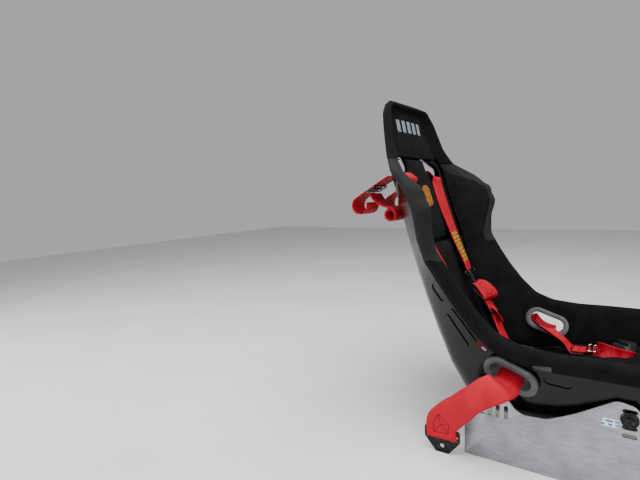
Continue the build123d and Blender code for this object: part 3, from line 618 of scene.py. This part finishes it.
def mesh_object(name, points, faces, material, uvs=None):
    """A new piece from points in millimetres."""
    mesh = bpy.data.meshes.new(name)
    mesh.from_pydata([Vector(p) * MM for p in points], [], faces)
    if uvs is not None:
        layer = mesh.uv_layers.new(name="cloth")
        for loop in mesh.loops:
            layer.data[loop.index].uv = uvs[loop.vertex_index]
    for p in mesh.polygons:
        p.use_smooth = True
    mesh.materials.append(material)
    mesh.update()
    obj = bpy.data.objects.new(name, mesh)
    bpy.context.scene.collection.objects.link(obj)
    return obj


def eased(points, place):
    """A point on the smooth line through the points, its place counted in points from the first."""
    leg = min(int(place), len(points) - 2)
    start, end = points[leg], points[leg + 1]
    run = end - start
    before = points[leg - 1] if leg > 0 else start - run
    after = points[leg + 2] if leg + 2 < len(points) else end + run
    leave = (end - before) * run.length / max(run.length + (start - before).length, 1e-6)
    arrive = (after - start) * run.length / max((after - end).length + run.length, 1e-6)
    t = place - leg
    t2, t3 = t * t, t * t * t
    line = start * (2 * t3 - 3 * t2 + 1) + end * (3 * t2 - 2 * t3)
    return line + leave * (t3 - 2 * t2 + t) + arrive * (t3 - t2)


def rows_along(points):
    """Even steps along the smooth line through the points: their places, middles and lengths so far."""
    rows = []
    for leg in range(len(points) - 1):
        count = max(1, round((points[leg + 1] - points[leg]).length / WEB_STEP))
        rows.extend(leg + k / count for k in range(count))
    rows.append(len(points) - 1.0)
    middles = [eased(points, row) for row in rows]
    lengths = [0.0]
    for here, there in zip(middles, middles[1:]):
        lengths.append(lengths[-1] + (there - here).length)
    return rows, middles, lengths


def webbing(name, stops, width, seed):
    """A strap along stops of (point, width direction, share of width left), all in millimetres."""
    points = [Vector(stop[0]) for stop in stops]
    rows, middles, lengths = rows_along(points)
    corners = []
    uvs = []
    for k, row in enumerate(rows):
        ahead = middles[min(k + 1, len(rows) - 1)] - middles[max(k - 1, 0)]
        ahead.normalize()
        leg = min(int(row), len(points) - 2)
        part = step(row - leg, 0.0, 1.0)
        wide = Vector(stops[leg][1]).lerp(Vector(stops[leg + 1][1]), part)
        wide = (wide - ahead * wide.dot(ahead)).normalized()
        up = ahead.cross(wide)
        share = stops[leg][2] * (1 - part) + stops[leg + 1][2] * part
        half = width / 2 * share
        # webbing squeezed to a share of its width curls up along both edges
        curl = half * math.sqrt(max(1.0 - share, 0.0)) * WEB_SAG
        for face in (1, -1):
            for column in range(WEB_COLUMNS):
                u = 2.0 * column / (WEB_COLUMNS - 1) - 1.0
                ripple = WEB_RIPPLE * noise.noise(Vector((u * 1.3 + seed, lengths[k] * 0.02, seed)))
                thick = WEB_THICK * (SELVEDGE if column in (0, WEB_COLUMNS - 1) else 1.0)
                lift = curl * (u * u - 0.33) + ripple + face * thick / 2
                corners.append(middles[k] + wide * half * u + up * lift)
                uvs.append((u * width / 2 * MM, lengths[k] * MM))
    ring = 2 * WEB_COLUMNS
    order = list(range(WEB_COLUMNS)) + list(range(ring - 1, WEB_COLUMNS - 1, -1))
    faces = []
    for k in range(len(rows) - 1):
        for j in range(ring):
            a, b = k * ring + order[j], k * ring + order[(j + 1) % ring]
            faces.append((a, b, b + ring, a + ring))
    for k, turned in ((0, True), (len(rows) - 1, False)):
        for column in range(WEB_COLUMNS - 1):
            a = k * ring + column
            quad = (a, a + 1, a + WEB_COLUMNS + 1, a + WEB_COLUMNS)
            faces.append(tuple(reversed(quad)) if turned else quad)
    return mesh_object(name, corners, faces, WEBBING, uvs)


def strap(name, stops, width, part, seed):
    """Webbing that stands for a carried-over node, or lies on one where part is None."""
    obj = webbing(name, stops, width, seed)
    if part is not None:
        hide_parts(part)
    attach(obj, "root")


LOOP_AT = Vector((0.0, 512.0, 602.0))    # middle of the loops behind the seat
LOOP_R = 24.7            # from there to the middle of the webbing
LOOP_TURN = math.radians(262)
LOOP_STEPS = 14
SEAT_BACK = Vector((0.0, 424.0, 679.8))  # where a shoulder strap meets the back of the seat
SLOT_TILT = math.radians(24.0)
LOOP_X = 106.0           # middle of the left shoulder strap in its loop,
SLOT_X = 97.5            # in its slot
PAD_X = 100.0            # and down the backrest
# down the backrest: y, z and turn in degrees
ON_PAD = [(369, 674, 0), (367, 660, 0), (346, 591, 0), (316, 509, 4), (276, 413, 8), (267, 388, 10)]
RIGHT_SQUEEZE = 0.78     # share of its width that the right strap keeps in the slot
SLACK_Z = 560.0          # middle height of the stretch where the right strap hangs slack
SLACK_REACH = (100.0, 170.0)     # all slack within this height of it, and none beyond
SLACK_OUT = 9.0          # how far out it lies there
SLACK_CURL = 0.24        # and the share of its width that it loses as it curls
# plane of the left lap slot: its centre, the direction along it, across it and out of it
LAP_SLOT = Vector((242.3, 70.3, 214.9))
LAP_ALONG = Vector((0.0488, -0.9418, -0.3326))
LAP_ACROSS = Vector((-0.2626, 0.3092, -0.9140))
LAP_OUT = Vector((0.9637, 0.1320, -0.2323))
LAP_REST = 15.4          # how far the webbing lies below the middle of the slot
FLAT = (1, 0, 0)         # width direction of webbing that lies level


def mirrored(stops, side):
    """Stops written for the left side, carried to either side."""
    made = []
    for point, way, share in stops:
        made.append(((point[0] * side, point[1], point[2]), (way[0] * side, way[1], way[2]), share))
    return made


def shoulder_stops(side):
    """Round the loop, up to the seat's back, through the slot and down to the adjuster."""
    stops = []
    leave = SEAT_BACK - LOOP_AT
    first = math.atan2(leave.z, leave.y) - math.acos(LOOP_R / leave.length)
    for k in range(LOOP_STEPS + 1):
        angle = first - LOOP_TURN * (1 - k / LOOP_STEPS)
        point = (LOOP_X, LOOP_AT.y + LOOP_R * math.cos(angle), LOOP_AT.z + LOOP_R * math.sin(angle))
        stops.append((point, FLAT, 1.0))
    slanted = (math.cos(SLOT_TILT), 0, -math.sin(SLOT_TILT))
    half_slanted = (math.cos(SLOT_TILT), 0, -0.5 * math.sin(SLOT_TILT))
    in_slot = 1.0 if side > 0 else RIGHT_SQUEEZE
    stops.append(((LOOP_X, SEAT_BACK.y, SEAT_BACK.z), FLAT, 1.0))
    stops.append(((SLOT_X, 408.0, 683.8), slanted, in_slot))
    stops.append(((SLOT_X, 384.0, 683.8), slanted, in_slot))
    stops.append(((SLOT_X + 0.5, 373.5, 681.0), half_slanted, in_slot))
    for y, z, turn in ON_PAD:
        across = (math.cos(math.radians(turn)), math.sin(math.radians(turn)), 0)
        slack = (1.0 - step(abs(z - SLACK_Z), *SLACK_REACH)) if side < 0 else 0.0
        stops.append(((PAD_X + SLACK_OUT * slack, y, z), across, 1.0 - SLACK_CURL * slack))
    return stops


def lap_stops():
    """From the floor anchor in a slack bow to the bezel, through it and down onto the cushion."""
    def in_slot(depth):
        """A point of the webbing on its way through the slot, so far out of its plane."""
        return tuple(LAP_SLOT + LAP_ACROSS * LAP_REST + LAP_OUT * depth)

    along = tuple(LAP_ALONG)
    return [
        ((279.1, 222, 36), (0, -1, 0), 1.0),
        ((280.1, 222, 74), (0, -1, 0), 1.0),
        ((285, 205, 98), (0.2, -0.9, -0.35), 0.96),
        ((293, 172, 132), (0.4, -0.7, -0.5), 0.9),
        ((301, 140, 166), (0.5, -0.55, -0.65), 0.86),
        ((304, 108, 191), (0.4, -0.6, -0.7), 0.88),
        ((294, 84, 202), (0.25, -0.8, -0.55), 0.88),
        (in_slot(30.0), along, 0.82),
        (in_slot(14.0), along, 0.8),
        (in_slot(-50.0), along, 0.74),
        ((164, 42, 203), (0.95, -0.30, -0.1), 0.55),
        ((158, 14, 184), (1, 0, 0), 0.6),
        ((157, 0, 167), (1, 0, 0), 0.85),
        ((157, -12, 161), (1, 0, 0), 1.0),
        ((158, -32, 163.5), (1, 0, 0), 1.0),
    ]


# the doubled webbing that is threaded through the lower shoulder adjuster
FOLD = [
    ((100, 250, 352), (1, -0.10, 0), 0.95), ((100, 236, 350), (1, -0.22, 0), 1.0),
    ((101, 217, 334), (1, -0.32, 0), 1.0), ((101, 206, 320), (1, -0.34, 0), 1.0),
    ((101, 204, 310), (1, -0.34, 0), 1.0), ((101, 211, 303), (1, -0.25, 0), 1.0),
]
CHEST = [
    ((100, 241, 333.7), FLAT, 1.0), ((100, 217.8, 308.8), FLAT, 1.0), ((92, 190, 262), FLAT, 1.0),
    ((76, 166, 216), FLAT, 1.0), ((62, 136, 172), FLAT, 1.0), ((54, 104, 147.5), FLAT, 1.0),
    ((48, 62, 151), FLAT, 1.0), ((44, 20, 154.5), FLAT, 1.0),
]
# a loose end folded over on itself, on the lower strap
LOOSE_END = [
    ((95, 196, 283), (1, 0.2, 0), 1.0), ((93, 184, 268), (1, 0.35, 0), 1.0),
    ((91, 176, 250), (1, 0.5, 0), 0.95), ((88, 177, 241), (1, 0.55, 0), 0.95),
]
BUCKLE_STRAP = [
    ((158.5, -10, 167), FLAT, 1.0), ((158, -44, 170), FLAT, 1.0), ((160, -86, 175.5), FLAT, 1.0),
    ((161, -116, 180), FLAT, 1.0),
]
# the rest of the lap strap: out of its adjuster, up on its edge beside the buckle, and folded
ON_EDGE = (0.35, 0.05, 1)
LAP_TAIL = [
    ((150, -66, 177), (1, 0.1, 0.3), 0.8), ((132, -78, 183), (0.6, 0.2, 1), 0.82),
    ((122, -86, 184), (0.4, 0.1, 1), 0.84), ((118, -98, 182), ON_EDGE, 0.84),
    ((116, -116, 180), ON_EDGE, 0.78), ((113, -122, 180), ON_EDGE, 0.76),
    ((104, -134, 181), (0.3, -0.3, 1), 0.74), ((106, -148, 180), (0.3, -0.3, 1), 0.72),
    ((118, -156, 176), (0.3, -0.1, 1), 0.70), ((128, -152, 170), (0.4, 0, 1), 0.6),
]
# spare webbing of the right shoulder strap, rolled up below its slide
ROLL_AT = (414.0, 575.0)
ROLL_R = 19.0
ROLL_PITCH = 2.7         # radius lost in each turn
ROLL_STEPS = 8           # stops in each turn
ROLL_STOPS = 19
SPARE = [((LOOP_X, y, z), FLAT, 1.0) for y, z in ((478, 636), (464, 616), (440, 600))]
for k in range(ROLL_STOPS):
    angle = math.radians(100 + 360 / ROLL_STEPS * k)
    radius = ROLL_R - ROLL_PITCH * k / ROLL_STEPS
    at = (LOOP_X, ROLL_AT[0] + radius * math.cos(angle), ROLL_AT[1] + radius * math.sin(angle))
    SPARE.append((at, FLAT, 1.0))
CROTCH = [
    ((0, -99.1, 30), FLAT, 1.0), ((0, -99.1, 60), FLAT, 1.0), ((0, -127.0, 88.9), FLAT, 1.0),
    ((0, -122.2, 106.3), FLAT, 1.0), ((0, -102.2, 177.5), FLAT, 1.0), ((0, -103.6, 187.3), FLAT, 1.0),
    ((0, -146, 189.7), FLAT, 1.0), ((0, -172, 186.4), FLAT, 1.0), ((0, -206, 193), FLAT, 1.0),
]
SIDE_STRAPS = [
    ("shoulder_webbing_", None, WEB, "shoulder_strap_"),
    ("shoulder_fold_", FOLD, WEB, None),
    ("chest_webbing_", CHEST, NARROW_WEB, "chest_strap_"),
    ("loose_end_", LOOSE_END, NARROW_WEB, None),
    ("lap_webbing_", lap_stops(), WEB, "lap_strap_"),
    ("buckle_webbing_", BUCKLE_STRAP, CROTCH_WEB, "buckle_strap_"),
]
for side, word in ((1, "left"), (-1, "right")):
    for order, (name, stops, width, part) in enumerate(SIDE_STRAPS):
        node_name = part + word if part else None
        route = mirrored(stops or shoulder_stops(side), side)
        strap(name + word, route, width, node_name, side * (order + 1.3))
strap("lap_tail", LAP_TAIL, CROTCH_WEB, None, 9.1)
strap("spare_webbing_right", mirrored(SPARE, -1), WEB, None, 5.5)
strap("crotch_webbing", CROTCH, CROTCH_WEB, "crotch_strap", 1.7)


# Harness steel: slides and adjusters pressed from sheet and coated black, and
# chromed tongues that click into the rotary buckle on the left lap strap.
def coated_steel():
    """Black electro-coated steel: smooth, half gloss, with chipped corners."""
    made, tree, place = new_finish("coated_steel")
    plug(tree.nodes[SHADER], {
        "Base Color": patchy(tree, place, 4.0, 6.0, 0.62, 0.66, "#141416", "#6e6f72"),
        "Metallic": 0.3,
        "Roughness": 0.35,
        "Normal": relief(tree, place, 1.0, 2.0, 0.04)})
    return made


def chrome():
    """Chromed steel: mirror bright, with smears and hairline scratches."""
    made, tree, place = new_finish("chromed_steel")
    smear = mottle(tree, place, 10.0, 5.0, 0.4, 0.7)
    hairlines = scratched(tree, place, 0.8, 12.5)
    plug(tree.nodes[SHADER], {
        "Base Color": node(tree, "Mix", {SHARE: smear, FIRST: "#c9cacc", SECOND: "#b3b4b7"}, **COLOURS),
        "Metallic": 1.0,
        "Roughness": node(tree, "MapRange", {"Value": smear, "To Min": 0.12, "To Max": 0.3}),
        "Normal": node(tree, "Bump", {"Height": hairlines, "Distance": 0.00002})})
    return made


def moulded_polyamide():
    """Black moulded polyamide: satin, with fine mould texture and pale rubbed edges."""
    made, tree, place = new_finish("black_polyamide")
    rubbed = mottle(tree, place, 8.0, 5.0, 0.5, 0.75)
    plug(tree.nodes[SHADER], {
        "Base Color": node(tree, "Mix", {SHARE: rubbed, FIRST: "#141517", SECOND: "#26272a"}, **COLOURS),
        "Roughness": node(tree, "MapRange", {"Value": rubbed, "To Min": 0.38, "To Max": 0.55}),
        "IOR": 1.53,
        "Normal": relief(tree, place, 0.8, 2.0, 0.07)})
    return made


COATED = coated_steel()
CHROME = chrome()
POLYAMIDE = moulded_polyamide()
for word in ("left", "right"):
    for part in ("bar_slide_", "shoulder_adjuster_", "lap_adjuster_"):
        dress(part + word, COATED, 0.0007)
    dress("shoulder_tongue_" + word, CHROME, 0.0005)
dress("lap_tongue_right", CHROME, 0.0005)
dress("crotch_tongue", CHROME, 0.0005)
dress("rotary_buckle", POLYAMIDE, 0.0012)


# Wire links and keepers: bent from 4 mm steel rod, coated black on the shoulder straps
# and chromed on the lap strap. They join webbing to webbing and hold its folded ends.
ROD_R = 2.0
RING_SIDES = 10
CORNER_SHARE = 0.3       # corner radius, as a share of the loop's shorter side
CORNER_STEPS = 5


def wire_loop(name, centre, run, facing, width, length, material=COATED):
    """A rounded rectangle of rod: width across the webbing, length along it."""
    along = Vector(run).normalized()
    out = Vector(facing)
    out = (out - along * out.dot(along)).normalized()
    across = along.cross(out)
    corner = min(width, length) * CORNER_SHARE
    path = []
    for sx, sy, turn in ((1, 1, 0), (-1, 1, 90), (-1, -1, 180), (1, -1, 270)):
        for k in range(CORNER_STEPS):
            a = math.radians(turn + k * 90 / (CORNER_STEPS - 1))
            x = sx * (width / 2 - corner) + corner * math.cos(a)
            y = sy * (length / 2 - corner) + corner * math.sin(a)
            path.append(Vector(centre) + across * x + along * y)
    points = []
    count = len(path)
    for i, here in enumerate(path):
        ahead = (path[(i + 1) % count] - path[i - 1]).normalized()
        side_way = ahead.cross(out)
        for j in range(RING_SIDES):
            a = 2 * math.pi * j / RING_SIDES
            points.append(here + (side_way * math.cos(a) + out * math.sin(a)) * ROD_R)
    faces = []
    for i in range(count):
        for j in range(RING_SIDES):
            a, b = i * RING_SIDES, ((i + 1) % count) * RING_SIDES
            m = (j + 1) % RING_SIDES
            faces.append((a + j, b + j, b + m, a + m))
    obj = mesh_object(name, points, faces, material)
    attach(obj, "root")


STRAP_DOWN = (0.0, -0.42, -0.91)
STRAP_FACE = (0.0, -0.91, 0.42)
KEEPER_RUN = (-0.1, -0.5, -0.86)
for side, word in ((1, "left"), (-1, "right")):
    wire_loop("shoulder_end_bar_" + word, (side * 100, 266, 386), STRAP_DOWN, STRAP_FACE, WEB + 8, 11)
    wire_loop("shoulder_link_" + word, (side * 100, 258, 368), STRAP_DOWN, STRAP_FACE, 11, 44)
    wire_loop("chest_keeper_" + word, (side * 94, 193, 272), KEEPER_RUN, STRAP_FACE, NARROW_WEB + 8, 12)
for k, y in enumerate((-52, -65)):
    wire_loop("lap_keeper_%d" % k, (156, y, 176), (0, -1, 0.12), (0, 0.12, 1), CROTCH_WEB + 9, 10,
              material=CHROME)


# Sewn and stuck-on pieces, all plain: a gold woven patch on the backrest, a row of
# embroidered bars on the head pad, a yellow band on the left strap, a cloth tab and a
# clip at the hem, and a foil patch on the side mount.
THREAD_SLANT = math.radians(38)


def cloth_patch(name, base, thread, pitch, mottling=0.4):
    """Close satin stitch over twill, in one colour with darker gaps between its rows of thread."""
    made, tree, place = new_finish(name)
    uv = node(tree, "TexCoord", {}, "UV")
    slanted = node(tree, "Mapping", {"Vector": uv, "Rotation": (0, 0, THREAD_SLANT)})
    rows = node(tree, "TexWave", {
        "Vector": slanted, "Scale": WAVE / pitch, "Distortion": 0.8, "Detail": 2.0}, "Fac")
    colour = node(tree, "Mix", {SHARE: rows, FIRST: base, SECOND: thread}, **COLOURS)
    uneven = mottle(tree, place, 11.0, 4.0, 0.45, 0.62, 0.0, mottling)
    plug(tree.nodes[SHADER], {
        "Base Color": node(tree, "Mix", {SHARE: uneven, FIRST: colour, SECOND: base}, **COLOURS),
        "Roughness": 0.7,
        "Specular IOR Level": 0.2,
        "Normal": node(tree, "Bump", {"Height": rows, "Distance": 0.0003})})
    return made


def dashed_band(name, ground, worn_ground, ink, row, dash, stripes=False):
    """Plain dashes of one colour in even rows, or in stripes lengthways, set by U and V in metres."""
    made, tree, place = new_finish(name)
    uv = node(tree, "TexCoord", {}, "UV")
    ways = ("Y", "X") if stripes else ("X", "Y")
    across, along = [node(tree, "SeparateXYZ", {0: uv}, way) for way in ways]
    in_row = node(tree, "Math", {0: along, 1: row}, operation="PINGPONG")
    in_row = node(tree, "MapRange", {"Value": in_row, "From Min": row * 0.36, "From Max": row * 0.42})
    uneven = node(tree, "TexNoise", {"Vector": place, "Scale": 1 / (dash * 1.5), "Detail": 1.0})
    uneven = node(tree, "Math", {0: uneven, 1: dash * 2.0}, operation="MULTIPLY")
    in_dash = node(tree, "Math", {0: across, 1: uneven}, operation="ADD")
    in_dash = node(tree, "Math", {0: in_dash, 1: dash}, operation="PINGPONG")
    in_dash = node(tree, "MapRange", {"Value": in_dash, "From Min": dash * 0.24, "From Max": dash * 0.30})
    inked = node(tree, "Math", {0: in_row, 1: in_dash}, operation="MULTIPLY")
    worn = mottle(tree, place, 12.0, 4.0, 0.4, 0.75, 0.0, 0.35)
    base = node(tree, "Mix", {SHARE: worn, FIRST: ground, SECOND: worn_ground}, **COLOURS)
    plug(tree.nodes[SHADER], {
        "Base Color": node(tree, "Mix", {SHARE: inked, FIRST: base, SECOND: ink}, **COLOURS),
        "Roughness": 0.6,
        "Normal": relief(tree, place, 1.2, 2.0, 0.1)})
    return made


def surface_of(objects):
    """A search tree over the finished shapes of some objects, in metres."""
    meshes = [settled(obj) for obj in objects]
    tree = BVHTree.FromPolygons(*gathered(meshes))
    for mesh in meshes:
        bpy.data.meshes.remove(mesh)
    return tree


LAID_FROM = 60.0         # a patch is dropped from so far above its place,
LAID_REACH = 0.16        # by no more than this, in metres,
EDGE_SINK = 0.4          # and its edge ends so far below the surface


def laid_on(name, tree, centre, right, up, size, material, lift=0.8, cell=4.0, round_off=0.0):
    """A thin patch pressed onto a surface: a grid dropped along its own normal, edges turned down."""
    right = Vector(right).normalized()
    up = Vector(up)
    up = (up - right * up.dot(right)).normalized()
    out = right.cross(up)
    columns = max(3, round(size[0] / cell))
    rows = max(3, round(size[1] / cell))
    points = []
    uvs = []
    for j in range(rows + 1):
        for i in range(columns + 1):
            u = (i / columns - 0.5) * size[0]
            v = (j / rows - 0.5) * size[1]
            edge = max(abs(u) - size[0] / 2 + round_off, 0.0), max(abs(v) - size[1] / 2 + round_off, 0.0)
            reach = math.hypot(*edge)
            if round_off and min(edge) > 0 and reach > round_off:
                u -= math.copysign(edge[0] * (1 - round_off / reach), u)
                v -= math.copysign(edge[1] * (1 - round_off / reach), v)
            start = Vector(centre) + right * u + up * v + out * LAID_FROM
            hit = tree.ray_cast(start * MM, -out, LAID_REACH)[0]
            at = hit / MM if hit is not None else Vector(centre) + right * u + up * v
            border = i in (0, columns) or j in (0, rows)
            points.append(at + out * (-EDGE_SINK if border else lift))
            uvs.append((u * MM, v * MM))
    faces = []
    wide = columns + 1
    for j in range(rows):
        for i in range(columns):
            a = j * wide + i
            faces.append((a, a + 1, a + wide + 1, a + wide))
    obj = mesh_object(name, points, faces, material, uvs)
    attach(obj, "root")


GOLD = cloth_patch("gold_embroidery", "#5a2c08", "#bd8030", 0.0016, mottling=0.85)
SILVER = cloth_patch("silver_embroidery", "#66696d", "#96999d", 0.0014)
MAROON = cloth_patch("maroon_woven_tape", "#2c060b", "#470e14", 0.0016)
YELLOW_BAND = dashed_band("yellow_woven_band", "#b18f02", "#927a18", "#0c0c08",
                          row=0.0078, dash=0.0062, stripes=True)
PALE_FOIL = dashed_band("pale_printed_foil", "#c9d6e6", "#aebccb", "#44598a", row=0.0036, dash=0.0090)
pads = surface_of([bpy.data.objects[name] for name in COVERS])
X_AXIS = (1, 0, 0)
laid_on("gold_patch", pads, (0, 362, 622), X_AXIS, (0, 0.28, 0.96), (54, 68), GOLD,
        lift=1.4, cell=3.0, round_off=24.0)
for k in range(5):
    laid_on("head_bar_%d" % k, pads, ((k - 2) * 35.0, 404, 830), X_AXIS, (0, 0.2, 0.98), (23, 38),
            SILVER, lift=1.0, cell=3.0, round_off=5.0)
left_strap = surface_of([bpy.data.objects["shoulder_webbing_left"]])
laid_on("strap_band", left_strap, (100.5, 296, 463), (1, 0.1, 0), (0, 0.385, 0.923), (62, 100),
        YELLOW_BAND, lift=0.5)
near_hip = surface_of([bpy.data.objects["edge_cover"], NODES["shell"]])
TAB_RUN = (0, -0.83, -0.55)
TAB_UP = (0.25, -0.55, 0.83)
laid_on("hip_tab", near_hip, (-268, 131, 276), TAB_RUN, TAB_UP, (34, 20), MAROON,
        lift=1.0, cell=3.0)
laid_on("hip_tab_thread", near_hip, (-268, 127, 271), TAB_RUN, TAB_UP, (14, 8), SILVER,
        lift=1.8, cell=2.0)
laid_on("hem_clip", near_hip, (-262, 5, 246), (0, -1, 0.1), (0.2, 0.1, 1), (40, 14),
        POLYAMIDE, lift=2.4, cell=3.0, round_off=4.0)
near_plate = surface_of([NODES["side_mount_right"]])
laid_on("mount_foil", near_plate, (-250, -120, 155), (0, -1, 0), (0, 0, 1), (36, 24), PALE_FOIL,
        lift=0.2, cell=6.0)


# The room: a pale matt floor under three large soft lamps, the brightest above
# the seat, one on the camera's side and one behind, in a pale even light.
FLOOR_SIZE = 12.0
LAMPS = [
    ("lamp_above", (-0.4, -0.2, 3.0), (0.0, 0.1, 0.4), 2.6, 150.0),
    ("lamp_beside", (-3.0, -1.2, 1.7), (0.0, 0.0, 0.5), 1.8, 80.0),
    ("lamp_behind", (-1.6, 2.6, 1.6), (-0.2, 0.2, 0.4), 1.4, 60.0),
]


def painted_floor():
    """Pale matt floor paint, faintly cloudy."""
    made, tree, place = new_finish("painted_floor")
    plug(tree.nodes[SHADER], {
        "Base Color": patchy(tree, place, 400.0, 4.0, 0.3, 0.7, "#cfcecb", "#d8d7d4"),
        "Roughness": 0.8})
    return made


half = FLOOR_SIZE / 2 / MM
corners = [(-half, -half, 0), (half, -half, 0), (half, half, 0), (-half, half, 0)]
floor = mesh_object("floor", corners, [(0, 1, 2, 3)], painted_floor())
for name, place, target, size, power in LAMPS:
    lamp = bpy.data.lights.new(name, "AREA")
    lamp.shape = "DISK"
    lamp.size = size
    lamp.energy = power
    holder = bpy.data.objects.new(name, lamp)
    bpy.context.scene.collection.objects.link(holder)
    aim = Vector(target) - Vector(place)
    holder.matrix_world = Matrix.Translation(place) @ aim.to_track_quat("-Z", "Y").to_matrix().to_4x4()
world = bpy.data.worlds.new("studio")
world.use_nodes = True
sky = world.node_tree.nodes["Background"]
sky.inputs["Color"].default_value = linear("#e6e8ea")
sky.inputs["Strength"].default_value = 0.55
bpy.context.scene.world = world
